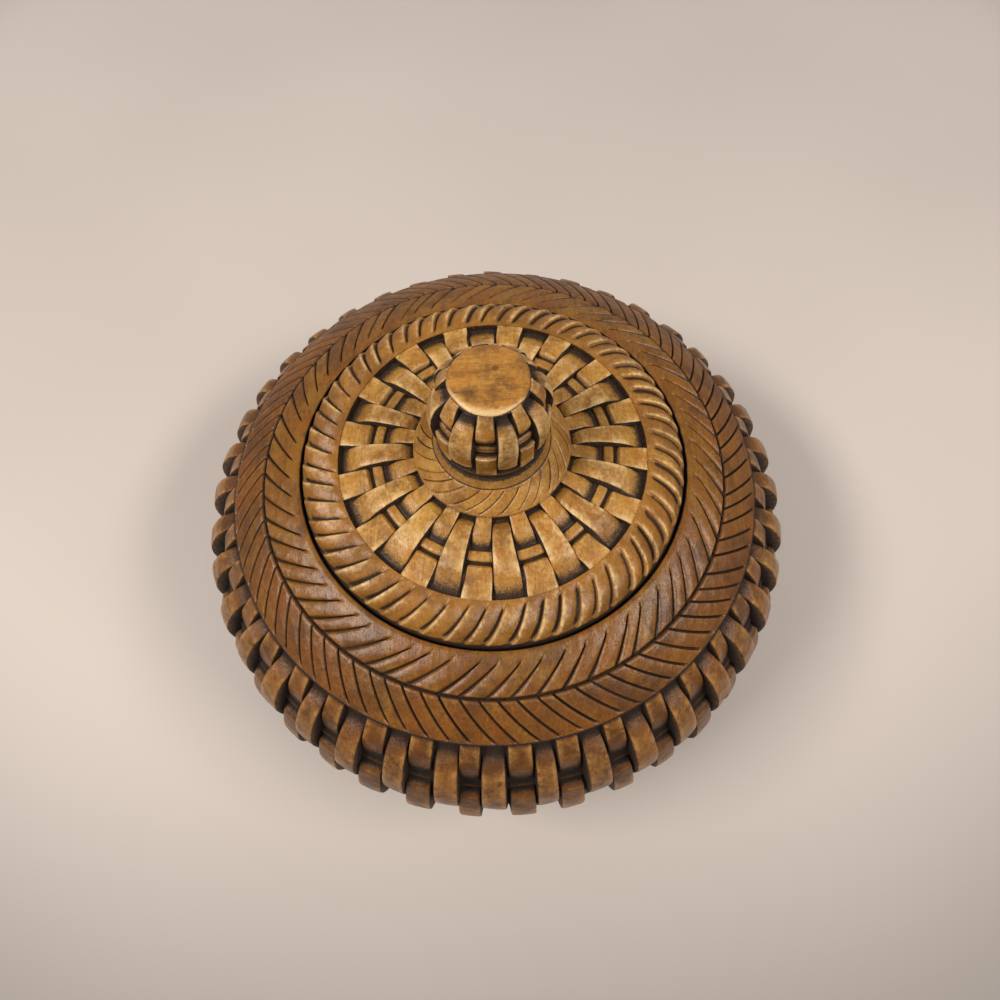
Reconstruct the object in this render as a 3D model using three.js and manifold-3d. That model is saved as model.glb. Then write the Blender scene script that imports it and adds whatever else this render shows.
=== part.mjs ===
// A round trinket box carved from stained wood: a squat bowl, a lift-off lid and a knob glued into the lid.
// All three are turned first and then carved as basket weave, with upright strips that dive under thin
// weft bars and rise over the next ones. The lid's rim is cut as a twisted rope.
// Millimetres, +Z up. The base stands on z = 0 and the axis of the box is the Z axis.

import * as THREE from 'three';
import { mergeVertices } from 'three/addons/utils/BufferGeometryUtils.js';
import Module from 'manifold-3d';

const wasm = await Module();
wasm.setup();

// Bowl, outside
const bowlDiameter = 120;
const bowlHeight = 57;
const bellyHeight = 28;
const shoulderRadius = 49.4;
const shoulderHeight = 50.3;
const shoulderCrown = 0.9;
const landWidth = 0.8;
const skirtRadius = 49.4;
const skirtHeight = 5.7;
const footRadius = 43;
const footHeight = 3.2;

// Bowl, inside
const mouthRadius = 35.2;
const ledgeDepth = 4.5;
const ledgeWidth = 3.7;
const ledgeThickness = 2.2;
const wallThickness = 9.2;
const floorThickness = 7;

// Lid
const lidGap = 0.6;
const lidRise = 2.9;
const spigotGap = 0.5;
const spigotDepth = 3;
const dishDepth = 2.5;
const dishMargin = 3.5;
const dishSlope = 3;
const rimLap = 0.8;
const ropeWidth = 6.9;
const ropeCrown = 0.7;
const ropeLip = 0.2;
const ropeEdgeDrop = 0.7;
const ringRadius = 13.9;
const ringRise = 2;
const ringLip = 0.4;
const collarRadius = 10.3;
const collarRise = 3.1;
const bossRadius = 9.5;
const bossRise = 1.4;

// Knob
const seatRadius = 8.7;
const neckHeight = 2.7;
const knobBaseRadius = 9.5;
const knobRadius = 10.6;
const knobBellyHeight = 7.6;
const knobWeaveTop = 15.1;
const knobShoulderRadius = 6.6;
const knobDiscRadius = 6.35;
const knobDiscHeight = 1;
const knobDiscChamfer = 0.6;
const tenonRadius = 3.6;
const tenonLength = 6.7;
const tenonGap = 0.3;

// Twisted rope round the lid
const ropeStrands = 58;
const ropeDepth = 0.8;
const ropeLean = THREE.MathUtils.degToRad(-7);
const ropeCrest = 0.35;
const ropePhase = THREE.MathUtils.degToRad(-80.8);

// The three woven bands: pairs of strips round the axis, weft bars across them, and the depths of the cuts.
// Of each pair, one strip is tucked in at both ends of its band and the other lies flush there.
// A steep band's flush strips stay up until they are close to the bar. Facets go across each strip.
const bowlWeave = {
  pairs: 40,
  wefts: 3,
  phase: THREE.MathUtils.degToRad(-91.8),
  slit: 0.5,
  crest: 1.6,
  floor: 2.6,
  barDepth: 1.2,
  barWidth: 1.7,
  grooveWidth: 0.6,
  riseLength: 1.3,
  tuckLength: 2.3,
  steep: false,
  facets: 1,
};
const lidWeave = {
  pairs: 16,
  wefts: 1,
  phase: THREE.MathUtils.degToRad(-86.5),
  slit: 0.3,
  crest: 0.6,
  floor: 1.5,
  barDepth: 0.5,
  barWidth: 1.6,
  grooveWidth: 0.5,
  riseLength: 0.8,
  tuckLength: 1.3,
  steep: true,
  facets: 1,
};
const knobWeave = {
  pairs: 8,
  wefts: 1,
  phase: THREE.MathUtils.degToRad(-77.5),
  slit: 0.3,
  crest: 0.5,
  floor: 1.3,
  barDepth: 0.8,
  barWidth: 1.1,
  grooveWidth: 0.45,
  riseLength: 0.8,
  tuckLength: 1.2,
  steep: true,
  facets: 2,
};

// Roundness of the plain turned shapes
const turningSegments = 48;
const holeSegments = 16;
const arcSteps = 5;
const crownSteps = 2;
const ropeSteps = 4;
const mergeDistance = 1e-4;

// How far a cut runs on past the face that it opens through
const cutMargin = 1;

// Heights and radii that follow from the sizes above
const ledgeHeight = bowlHeight - ledgeDepth;
const throatRadius = mouthRadius - ledgeWidth;
const bellyRadius = bowlDiameter / 2 - bowlWeave.crest;
const lidRadius = mouthRadius - lidGap;
const ropeInnerRadius = lidRadius - ropeWidth;
const spigotRadius = throatRadius - spigotGap;
const lidWeaveHeight = bowlHeight + lidRise;
const ringHeight = lidWeaveHeight + ringRise;
const collarHeight = ringHeight + ringLip + collarRise;
const seatHeight = collarHeight + bossRise;

// Materials
function stainedWood(color, roughness) {
  return new THREE.MeshStandardMaterial({ color, roughness, metalness: 0 });
}
const bowlWood = stainedWood(0x7d5528, 0.5);
const lidWood = stainedWood(0xb4803f, 0.48);
const knobWood = stainedWood(0xae7b3c, 0.45);

// A closed three.js geometry as a solid, with its shared vertices merged and its flat triangles left out.
function solidOf(geometry) {
  geometry.deleteAttribute('normal');
  geometry.deleteAttribute('uv');
  const merged = mergeVertices(geometry, mergeDistance);
  const index = merged.index.array;
  const triangles = [];
  for (let i = 0; i < index.length; i += 3) {
    const [a, b, c] = index.slice(i, i + 3);
    if (a !== b && b !== c && c !== a) {
      triangles.push(a, b, c);
    }
  }
  return new wasm.Manifold(new wasm.Mesh({
    numProp: 3,
    vertProperties: new Float32Array(merged.attributes.position.array),
    triVerts: new Uint32Array(triangles),
  }));
}

// A named mesh made from a finished solid
function meshOf(name, solid, material) {
  const { vertProperties, triVerts } = solid.getMesh();
  const geometry = new THREE.BufferGeometry();
  geometry.setAttribute('position', new THREE.BufferAttribute(new Float32Array(vertProperties), 3));
  geometry.setIndex(new THREE.BufferAttribute(new Uint32Array(triVerts), 1));
  geometry.computeVertexNormals();
  const mesh = new THREE.Mesh(geometry, material);
  mesh.name = name;
  return mesh;
}

// A row of a turned profile. Its carve function gives the relief and the turn of a column's point there.
function plainRow(radius, height) {
  return { point: new THREE.Vector2(radius, height), normal: new THREE.Vector2(0, 0), carve: null };
}

// Turns a profile round the Z axis on the given columns, and moves each point by what its row carves.
function turn(rows, columns) {
  const blank = new THREE.LatheGeometry(rows.map((row) => row.point), columns.length);
  const { position } = blank.attributes;
  for (let i = 0; i <= columns.length; i += 1) {
    const column = columns[i % columns.length];
    rows.forEach((row, j) => {
      const cut = row.carve ? row.carve(column) : { relief: 0, turned: 0 };
      const radius = row.point.x + cut.relief * row.normal.x;
      const height = row.point.y + cut.relief * row.normal.y;
      const angle = column.angle + cut.turned;
      position.setXYZ(i * rows.length + j, radius * Math.cos(angle), radius * Math.sin(angle), height);
    });
  }
  return solidOf(blank);
}

// Evenly spaced columns for what is turned and left plain
function evenColumns(count) {
  return Array.from({ length: count }, (_, i) => ({ angle: (i * 2 * Math.PI) / count }));
}

// Columns of a woven band: both edges of every strip and any facets between them, tucked and flush by turns.
// The slit between two strips is its width in millimetres at the band's mean radius.
function weaveColumns(weave, meanRadius) {
  const pitch = Math.PI / weave.pairs;
  const width = pitch - weave.slit / meanRadius;
  const columns = [];
  for (let strip = 0; strip < 2 * weave.pairs; strip += 1) {
    const start = weave.phase + strip * pitch - width / 2;
    for (let facet = 0; facet <= weave.facets; facet += 1) {
      columns.push({ angle: start + (facet * width) / weave.facets, tucked: strip % 2 === 0 });
    }
  }
  return columns;
}

// Distance from the start of a band to each of its weft bars
function weftPlaces(weave, length) {
  const pitch = length / (weave.wefts + 1);
  return Array.from({ length: weave.wefts }, (_, i) => ({ at: (i + 1) * pitch, dives: i % 2 === 0 }));
}

// Relief of a strip, in millimetres above the turned surface, at a distance along its band.
// Strips dive under every second weft bar, which then shows between their cut ends, and swell over the others.
function weaveRelief(weave, length, tucked, distance) {
  const toEnd = Math.min(distance, length - distance);
  if (tucked && toEnd <= weave.tuckLength) {
    return -weave.floor;
  }
  const wefts = weftPlaces(weave, length);
  const pitch = length / (weave.wefts + 1);
  const nearest = wefts.reduce((a, b) => (Math.abs(b.at - distance) < Math.abs(a.at - distance) ? b : a));
  const offset = Math.abs(distance - nearest.at);
  const dives = nearest.dives !== tucked;
  if (dives && offset <= weave.barWidth / 2) {
    return -weave.barDepth;
  }
  if (dives && offset <= weave.barWidth / 2 + weave.grooveWidth) {
    return -weave.floor;
  }
  if (dives) {
    return 0;
  }
  return weave.crest * Math.cos((Math.min(offset / pitch, 1) * Math.PI) / 2) ** 2;
}

// Rows of a woven band along a curve from its start to its end: the ends of the tucks, and for each weft bar
// its two edges, the two grooves beside it and the place where a strip is up again.
function weaveRows(weave, curve) {
  const length = curve.getLength();
  const half = weave.barWidth / 2;
  const groove = half + weave.grooveWidth;
  const rise = groove + weave.riseLength;
  const stations = [0, weave.tuckLength, weave.tuckLength + weave.riseLength];
  weftPlaces(weave, length).forEach((weft, i) => {
    if (weave.steep || i > 0) {
      stations.push(weft.at - rise);
    }
    stations.push(weft.at - groove, weft.at - half, weft.at + half, weft.at + groove);
    if (weave.steep) {
      stations.push(weft.at + rise);
    }
  });
  stations.push(length - weave.tuckLength - weave.riseLength, length - weave.tuckLength, length);
  return stations.map((distance) => {
    const along = distance / length;
    const tangent = curve.getTangentAt(along);
    return {
      point: curve.getPointAt(along),
      normal: new THREE.Vector2(tangent.y, -tangent.x),
      carve: (column) => ({ relief: weaveRelief(weave, length, column.tucked, distance), turned: 0 }),
    };
  });
}

// Arc that is upright at its widest point and runs to an edge above or below it
function bulgeArc(widestRadius, widestHeight, edgeRadius, edgeHeight) {
  const inward = widestRadius - edgeRadius;
  const along = Math.abs(edgeHeight - widestHeight);
  const radius = (inward ** 2 + along ** 2) / (2 * inward);
  const sweep = Math.atan2(along, radius - inward);
  const side = Math.sign(edgeHeight - widestHeight);
  return { centre: new THREE.Vector2(widestRadius - radius, widestHeight), radius, sweep: side * sweep };
}

// A bulging side as one curve from its lower edge to its upper edge
function bulgingSide(lower, upper) {
  const curve = new THREE.CurvePath();
  curve.add(new THREE.EllipseCurve(lower.centre.x, lower.centre.y, lower.radius, lower.radius, lower.sweep, 0));
  curve.add(new THREE.EllipseCurve(upper.centre.x, upper.centre.y, upper.radius, upper.radius, 0, upper.sweep));
  return curve;
}

// Bowl: the outside is turned with a slightly crowned shoulder, a woven side and a plain foot.
function bowlOutside() {
  const lower = bulgeArc(bellyRadius, bellyHeight, skirtRadius, skirtHeight);
  const upper = bulgeArc(bellyRadius, bellyHeight, shoulderRadius, shoulderHeight);
  const edge = new THREE.Vector2(shoulderRadius, shoulderHeight);
  const land = new THREE.Vector2(mouthRadius + landWidth, bowlHeight);
  const middle = edge.clone().lerp(land, 0.5).add(new THREE.Vector2(0, 2 * shoulderCrown));
  const shoulder = new THREE.QuadraticBezierCurve(edge, middle, land).getPoints(crownSteps);
  const rows = [
    plainRow(0, 0),
    plainRow(footRadius, 0),
    plainRow(footRadius, footHeight),
    plainRow(skirtRadius, skirtHeight),
    ...weaveRows(bowlWeave, bulgingSide(lower, upper)),
    ...shoulder.map((point) => plainRow(point.x, point.y)),
    plainRow(0, bowlHeight),
  ];
  return turn(rows, weaveColumns(bowlWeave, bellyRadius));
}

// Bowl: the hollow follows the side at an even wall, and opens through a throat to the ledge for the lid.
function bowlHollow() {
  const belly = bellyRadius - wallThickness;
  const underside = ledgeHeight - ledgeThickness;
  const upper = bulgeArc(belly, bellyHeight, throatRadius, underside);
  const lower = bulgeArc(belly, bellyHeight, throatRadius, floorThickness);
  const side = bulgingSide(lower, upper).getSpacedPoints(2 * arcSteps);
  const rows = [
    plainRow(0, floorThickness),
    ...side.map((point) => plainRow(point.x, point.y)),
    plainRow(throatRadius, ledgeHeight),
    plainRow(mouthRadius, ledgeHeight),
    plainRow(mouthRadius, bowlHeight + cutMargin),
    plainRow(0, bowlHeight + cutMargin),
  ];
  return turn(rows, evenColumns(turningSegments));
}

// Lid: the woven disc with its spigot, ring and boss. Its edge lies inside the rope rim.
function lidDisc() {
  const spigotBottom = ledgeHeight - spigotDepth;
  const dishRadius = spigotRadius - dishMargin;
  const underRope = ropeInnerRadius + rimLap;
  const band = new THREE.LineCurve(
    new THREE.Vector2(ropeInnerRadius, lidWeaveHeight),
    new THREE.Vector2(ringRadius, ringHeight),
  );
  const rows = [
    plainRow(0, spigotBottom + dishDepth),
    plainRow(dishRadius - dishSlope, spigotBottom + dishDepth),
    plainRow(dishRadius, spigotBottom),
    plainRow(spigotRadius, spigotBottom),
    plainRow(spigotRadius, bowlHeight),
    plainRow(underRope, lidWeaveHeight - lidWeave.floor),
    ...weaveRows(lidWeave, band),
    plainRow(ringRadius, ringHeight + ringLip),
    plainRow(collarRadius, collarHeight),
    plainRow(bossRadius, seatHeight),
    plainRow(0, seatHeight),
  ];
  return turn(rows, weaveColumns(lidWeave, (ropeInnerRadius + ringRadius) / 2));
}

// Lid: the rim is a rounded ring whose top is cut into leaning strands, like a twisted rope.
function ropeRim() {
  const outer = new THREE.Vector2(lidRadius, bowlHeight - ropeEdgeDrop);
  const inner = new THREE.Vector2(ropeInnerRadius, lidWeaveHeight + ropeLip);
  const shoulder = new THREE.Vector2(lidRadius, lidWeaveHeight + ropeCrown);
  const crown = new THREE.QuadraticBezierCurve(outer, shoulder, inner);
  const carved = Array.from({ length: ropeSteps + 1 }, (_, i) => {
    const along = i / ropeSteps;
    const tangent = crown.getTangent(along);
    const depth = ropeDepth * Math.sqrt(Math.sin(Math.PI * along));
    return {
      point: crown.getPoint(along),
      normal: new THREE.Vector2(tangent.y, -tangent.x),
      carve: (column) => ({ relief: column.groove ? -depth : 0, turned: ropeLean * (1 - along) }),
    };
  });
  const rows = [
    plainRow(spigotRadius - rimLap, ledgeHeight),
    plainRow(lidRadius, ledgeHeight),
    ...carved,
    plainRow(ropeInnerRadius, bowlHeight),
    plainRow(spigotRadius - rimLap, ledgeHeight),
  ];
  const pitch = (2 * Math.PI) / ropeStrands;
  const columns = [];
  for (let strand = 0; strand < ropeStrands; strand += 1) {
    const angle = ropePhase + strand * pitch;
    columns.push({ angle, groove: true });
    columns.push({ angle: angle + ropeCrest * pitch, groove: false });
  }
  return turn(rows, columns);
}

// Blind hole in the lid's boss for the knob's tenon
function tenonHole() {
  const bottom = seatHeight - tenonLength - tenonGap;
  const rows = [
    plainRow(0, bottom),
    plainRow(tenonRadius + tenonGap, bottom),
    plainRow(tenonRadius + tenonGap, seatHeight + cutMargin),
    plainRow(0, seatHeight + cutMargin),
  ];
  return turn(rows, evenColumns(holeSegments));
}

// Knob: tenon, plain neck, woven ball and a flat disc with a worn edge on top.
function knobSolid() {
  const baseHeight = seatHeight + neckHeight;
  const belly = seatHeight + knobBellyHeight;
  const top = seatHeight + knobWeaveTop;
  const ballRadius = knobRadius - knobWeave.crest;
  const lower = bulgeArc(ballRadius, belly, knobBaseRadius, baseHeight);
  const upper = bulgeArc(ballRadius, belly, knobShoulderRadius, top);
  const rows = [
    plainRow(0, seatHeight - tenonLength),
    plainRow(tenonRadius, seatHeight - tenonLength),
    plainRow(tenonRadius, seatHeight),
    plainRow(seatRadius, seatHeight),
    plainRow(knobBaseRadius, baseHeight),
    ...weaveRows(knobWeave, bulgingSide(lower, upper)),
    plainRow(knobDiscRadius, top),
    plainRow(knobDiscRadius, top + knobDiscHeight - knobDiscChamfer),
    plainRow(knobDiscRadius - knobDiscChamfer, top + knobDiscHeight),
    plainRow(0, top + knobDiscHeight),
  ];
  return turn(rows, weaveColumns(knobWeave, ballRadius));
}

const trinketBox = new THREE.Group();
trinketBox.add(meshOf('bowl', bowlOutside().subtract(bowlHollow()), bowlWood));
trinketBox.add(meshOf('lid', lidDisc().add(ropeRim()).subtract(tenonHole()), lidWood));
trinketBox.add(meshOf('knob', knobSolid(), knobWood));

export default trinketBox;
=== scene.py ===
"""Looks of a round trinket box of stained wood, carved all over as basket weave.

The bowl, the lid and the knob are turned as on a lathe and then carved. Lengths are in millimetres until a
piece is placed in the scene, which is in metres. Angles round the axis are in degrees from the front (-Y),
and grow towards the right (+X). A band is measured along its section from its lower or outer edge.
"""
from __future__ import annotations

import logging
import math
from dataclasses import dataclass, field
from enum import Enum
from typing import Union

import bpy
import numpy as np
from mathutils import Matrix, Vector


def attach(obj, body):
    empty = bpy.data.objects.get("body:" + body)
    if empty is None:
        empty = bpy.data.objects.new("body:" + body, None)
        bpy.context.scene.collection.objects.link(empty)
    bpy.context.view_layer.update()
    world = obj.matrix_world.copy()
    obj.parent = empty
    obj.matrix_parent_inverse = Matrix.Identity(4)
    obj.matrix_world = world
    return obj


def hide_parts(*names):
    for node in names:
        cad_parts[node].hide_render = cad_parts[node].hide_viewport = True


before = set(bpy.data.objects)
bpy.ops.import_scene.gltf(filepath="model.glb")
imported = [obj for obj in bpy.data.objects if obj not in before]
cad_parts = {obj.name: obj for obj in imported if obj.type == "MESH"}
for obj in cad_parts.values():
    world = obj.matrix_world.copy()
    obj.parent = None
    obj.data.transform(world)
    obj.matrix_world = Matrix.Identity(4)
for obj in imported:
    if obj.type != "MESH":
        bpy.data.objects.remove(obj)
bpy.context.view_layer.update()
LOG = logging.getLogger("trinket_box")
MM = 0.001
Grid = np.ndarray
Socket = bpy.types.NodeSocket
Row = tuple[float, ...]
Pair = tuple[float, float]
Triple = tuple[float, float, float]
Rgb = tuple[int, int, int]


# Shader nodes
Linkable = Union["Signal", Socket, float, tuple]


class Signal:
    """A number that varies over a surface, with Python's arithmetic on its Math nodes."""

    def __init__(self, shader: "Shader", socket: Socket) -> None:
        """Wraps one output socket of a shader's node."""
        self.shader = shader
        self.socket = socket

    def __add__(self, other: Linkable) -> "Signal":
        """Sum of two values."""
        return self.shader.math("ADD", self, other)

    __radd__ = __add__

    def __sub__(self, other: Linkable) -> "Signal":
        """This value less another."""
        return self.shader.math("SUBTRACT", self, other)

    def __rsub__(self, other: float) -> "Signal":
        """A number less this value."""
        return self.shader.math("SUBTRACT", other, self)

    def __mul__(self, other: Linkable) -> "Signal":
        """Product of two values."""
        return self.shader.math("MULTIPLY", self, other)

    __rmul__ = __mul__

    def band(self, low: float, high: float) -> "Signal":
        """Smooth step from 0 at low to 1 at high, which may be the smaller of the two."""
        (start, first), (end, last) = sorted(((low, 0.0), (high, 1.0)))
        return self.shader.signal("ShaderNodeMapRange", {"interpolation_type": "SMOOTHSTEP"},
                                  {0: self, 1: start, 2: end, 3: first, 4: last})


class Shader:
    """The node tree of one material."""

    def __init__(self, name: str) -> None:
        """Starts an empty material.

        Args:
            name: the material's name.
        """
        self.material = bpy.data.materials.new(name)
        self.material.use_nodes = True
        self.tree = self.material.node_tree
        self.tree.nodes.clear()

    def node(self, kind: str, settings: dict[str, object] | None = None,
             values: dict[int | str, Linkable] | None = None) -> bpy.types.Node:
        """Adds a node.

        Args:
            kind: the node's type.
            settings: its properties, set before its sockets.
            values: numbers, colours or links for its input sockets, by index or name.

        Returns:
            The new node.
        """
        node = self.tree.nodes.new(kind)
        for key, setting in (settings or {}).items():
            setattr(node, key, setting)
        for key, value in (values or {}).items():
            if isinstance(value, Signal):
                value = value.socket
            if isinstance(value, Socket):
                self.tree.links.new(value, node.inputs[key])
            else:
                node.inputs[key].default_value = value
        return node

    def signal(self, kind: str, settings: dict[str, object] | None, values: dict[int | str, Linkable] | None,
               output: int | str = 0) -> Signal:
        """Adds a node and returns one of its outputs as a number."""
        return Signal(self, self.node(kind, settings, values).outputs[output])

    def math(self, operation: str, first: Linkable, second: Linkable) -> Signal:
        """Adds a Math node, such as ADD, and returns its result."""
        return self.signal("ShaderNodeMath", {"operation": operation}, {0: first, 1: second})

    def attribute(self, name: str) -> Signal:
        """A number that the mesh carries under that name."""
        return self.signal("ShaderNodeAttribute", {"attribute_name": name}, None, "Fac")

    def where(self) -> Socket:
        """Object coordinates, in metres."""
        return self.node("ShaderNodeTexCoord").outputs["Object"]

    def place(self, scale: Triple, shift: Triple = (0.0, 0.0, 0.0)) -> Socket:
        """Object coordinates with so many pattern units in a millimetre along each axis, moved by shift."""
        values = {"Vector": self.where(), "Scale": tuple(value / MM for value in scale), "Location": shift}
        return self.node("ShaderNodeMapping", {"vector_type": "POINT"}, values).outputs["Vector"]

    def distance(self, place: Triple) -> Signal:
        """Distance from a place, in millimetres."""
        values = {0: self.where(), 1: tuple(value * MM for value in place)}
        return self.signal("ShaderNodeVectorMath", {"operation": "DISTANCE"}, values, "Value") * (1 / MM)

    def height(self) -> Signal:
        """Height above the floor, in millimetres."""
        return self.signal("ShaderNodeSeparateXYZ", None, {0: self.where()}, "Z") * (1 / MM)

    def noise(self, place: Socket, detail: float, roughness: float, distortion: float = 0.0) -> Signal:
        """Fractal noise about 0.5 at a stretched place."""
        values = {"Vector": place, "Scale": 1.0, "Detail": detail, "Roughness": roughness,
                  "Distortion": distortion}
        return self.signal("ShaderNodeTexNoise", {"normalize": True}, values)

    def mix(self, factor: Linkable, first: Linkable, second: Linkable) -> Socket:
        """Blends two colours, from the first where the factor is 0 to the second where it is 1."""
        settings = {"data_type": "RGBA", "clamp_factor": True}
        return self.node("ShaderNodeMix", settings, {0: factor, 6: first, 7: second}).outputs[2]

    def bump(self, height: Signal, distance: float, normal: Socket | None = None) -> Socket:
        """Bumps the surface, or an earlier normal, so many millimetres high where the height is 1."""
        values = {"Height": height, "Distance": distance * MM, "Strength": 1.0}
        return self.node("ShaderNodeBump", None, values | ({"Normal": normal} if normal else {})).outputs[0]

    def output(self, surface: Socket) -> bpy.types.Material:
        """Ends the tree in its surface shader and returns the material."""
        self.node("ShaderNodeOutputMaterial", None, {"Surface": surface})
        return self.material


def linear(red: int, green: int, blue: int) -> tuple[float, float, float, float]:
    """Turns a colour that is read off a screen into linear values.

    Args:
        red: its red, from 0 to 255.
        green: its green.
        blue: its blue.

    Returns:
        Linear red, green and blue, and full alpha.
    """
    def channel(value: int) -> float:
        """One channel as a linear value."""
        share = value / 255
        return share / 12.92 if share <= 0.04045 else ((share + 0.055) / 1.055) ** 2.4
    return channel(red), channel(green), channel(blue), 1.0


# Finishes
class GrainWay(Enum):
    """Which way the fibres of a block of wood run."""

    FRONT_TO_BACK = "y"
    SIDE_TO_SIDE = "x"


@dataclass(frozen=True)
class Mark:
    """A pit, a smudge or a rubbed place in the wood.

    Attributes:
        place: its middle in millimetres.
        reach: distances from the middle at which it begins to fade and ends, or the other way round.
        strength: share of the colour that it takes.
        dark: dark with stain, or pale with rubbing and a painted highlight.
        over: height in millimetres above which alone it shows.
    """

    place: Triple
    reach: Pair
    strength: float
    dark: bool = True
    over: float = 0.0


@dataclass(frozen=True)
class StainedWood:
    """Wood that was stained dark, rubbed back on its high places and waxed.

    The colours are as read off a screen: light for the palest streaks, main for the wood between them, deep
    for pores and clouds, stain for what stays in the cuts and for painted shade in the gaps under the lid and
    the knob, worn for rubbed high places with a painted highlight on them, and ember for a reddish glow.
    mottle and wear are the strengths of the clouds and of the rubbing with its painted highlight, sheen is
    the specular level, and seed gives each block of wood its own pattern.
    """

    name: str
    light: Rgb
    main: Rgb
    deep: Rgb
    stain: Rgb
    worn_and_highlight: Rgb
    ember: Rgb
    grain: GrainWay
    mottle: float
    wear_and_highlight: float
    sheen: float
    seed: float
    marks: tuple[Mark, ...] = ()

    def stretch(self, along: float, across: float) -> Triple:
        """Pattern units per millimetre that stretch a pattern along the fibres."""
        lengthwise = self.grain is GrainWay.FRONT_TO_BACK
        return (across, along, across) if lengthwise else (along, across, across)

    def material(self) -> bpy.types.Material:
        """Builds the finish's material.

        Returns:
            The material, which reads the mesh attributes stain, hollow, edge and tone.
        """
        shader = Shader(self.name)
        shift = (self.seed, self.seed * 1.7, self.seed * 0.6)

        def pattern(along: float, across: float, *look: float) -> Signal:
            """Noise with so many waves in a millimetre along and across the fibres."""
            return shader.noise(shader.place(self.stretch(along, across), shift), *look)

        cut, hollow, edge, tone = (shader.attribute(name) for name in ("stain", "hollow", "edge", "tone"))
        bands = pattern(0.03, 0.28, 2.0, 0.5, 0.6)
        cloud = pattern(0.13, 0.13, 3.0, 0.55, 0.4)
        fibres = pattern(0.14, 2.4, 4.0, 0.6, 0.25)
        blot = pattern(0.42, 0.42, 5.0, 0.65, 0.3)
        fine = pattern(0.6, 7.5, 3.0, 0.6)
        pores = pattern(1.1, 5.4, 2.0, 0.5)
        smear = pattern(1.4, 1.4, 3.0, 0.6)
        specks = pattern(1.7, 2.6, 2.0, 0.5).band(0.66, 0.74)
        grit = pattern(3.6, 3.6, 3.0, 0.7)

        # The bare wood: pale streaks, a reddish glow, clouds, then pores and flecks.
        warm = (bands * 0.35 + fibres * 0.35 + smear * 0.30 + tone * 0.025).band(0.38, 0.62)
        colour = shader.mix(warm, linear(*self.main), linear(*self.light))
        glow = (blot * 0.6 + fibres * 0.4).band(0.44, 0.62) * cloud.band(0.62, 0.40)
        colour = shader.mix(glow * 0.75, colour, linear(*self.ember))
        shade = (cloud * 0.45 + blot * 0.55 - tone * 0.012).band(0.48, 0.64) * self.mottle
        shade = shade + grit.band(0.48, 0.72) * 0.35
        colour = shader.mix(shade, colour, linear(*self.deep))
        streak = fine.band(0.50, 0.72) * 0.30 + pores.band(0.62, 0.70) * 0.35 + specks * 0.55
        colour = shader.mix(streak, colour, linear(*self.deep))

        # Rubbing on high places and edges, whose pale colour is also a painted highlight, and stain in the
        # cuts.
        rubbed = (hollow * -1.0 + (smear - 0.5) * 0.5).band(0.10, 0.42) * 0.8
        rubbed = rubbed + (edge * -1.0 + smear * 0.1).band(0.10, 0.28) * 0.7
        worn_and_highlight = rubbed * (fibres * 0.4 + blot * 0.6).band(0.64, 0.40) * self.wear_and_highlight
        colour = shader.mix(worn_and_highlight, colour, linear(*self.worn_and_highlight))

        # The stain colour also paints shade in the gaps under the lid and under the knob, carried by the
        # stain attribute.
        stain_and_painted_shade = cut + hollow.band(0.2, 1.2) * 0.30 + edge.band(0.06, 0.40) * 0.35
        stain_and_painted_shade = (stain_and_painted_shade + (grit - 0.5) * 1.1 + (smear - 0.5) * 0.6).band(0.14, 0.86)
        colour = shader.mix(stain_and_painted_shade * (1.0 - grit.band(0.52, 0.78) * 0.45), colour, linear(*self.stain))
        for mark in self.marks:
            near = shader.distance(mark.place) + (smear - 0.5) * 0.8
            above = shader.height().band(mark.over - 0.1, mark.over)
            share = near.band(*mark.reach) * above * mark.strength
            colour = shader.mix(share, colour, linear(*(self.stain if mark.dark else self.worn_and_highlight)))

        rough = 0.26 + stain_and_painted_shade * 0.50 + fine * 0.10 + shade * 0.10
        # Tool facets, then dents, then the grain.
        facets = shader.node("ShaderNodeTexVoronoi", {"feature": "F1"}, {
            "Vector": shader.place(self.stretch(0.22, 0.5), shift), "Scale": 1.0, "Randomness": 1.0})
        normal = shader.bump(Signal(shader, facets.outputs["Distance"]), 0.18)
        normal = shader.bump(blot, 0.14, normal)
        grain = fibres * 0.5 + fine * 0.3 + grit * 0.35 - pores.band(0.60, 0.72) * 0.5
        normal = shader.bump(grain, 0.08, normal)
        surface = shader.node("ShaderNodeBsdfPrincipled", None, {
            "Base Color": colour,
            "Roughness": rough,
            "Normal": normal,
            "Specular IOR Level": self.sheen,
            "Coat Weight": 0.07,
            "Coat Roughness": 0.28,
        })
        return shader.output(surface.outputs[0])


@dataclass(frozen=True)
class PaleFloor:
    """Plain pale floor that the box stands on.

    cloudy and shaded are the shares of the colour that are left in its faint clouds and in its painted
    shadow, which darkens it towards the front between two distances from a middle behind the box.
    """

    name: str = "pale_floor"
    colour: Rgb = (190, 181, 175)
    cloudy: float = 0.97
    painted_shadow: float = 0.67
    middle: Triple = (0.0, 150.0, 0.0)
    shade: Pair = (190.0, 290.0)

    def material(self) -> bpy.types.Material:
        """Builds the floor's material.

        Returns:
            The material.
        """
        shader = Shader(self.name)
        plain, cloudy, painted_shadow = (linear(*(int(value * share) for value in self.colour))
                                 for share in (1.0, self.cloudy, self.painted_shadow))
        cloud = shader.noise(shader.place((0.006, 0.006, 0.006)), 2.0, 0.5).band(0.3, 0.7)
        colour = shader.mix(cloud, plain, cloudy)
        # Painted shadow, darker towards the front of the floor.
        colour = shader.mix(shader.distance(self.middle).band(*self.shade), colour, painted_shadow)
        surface = shader.node("ShaderNodeBsdfPrincipled", None, {
            "Base Color": colour,
            "Roughness": 0.5,
            "Specular IOR Level": 0.15,
        })
        return shader.output(surface.outputs[0])


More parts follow.
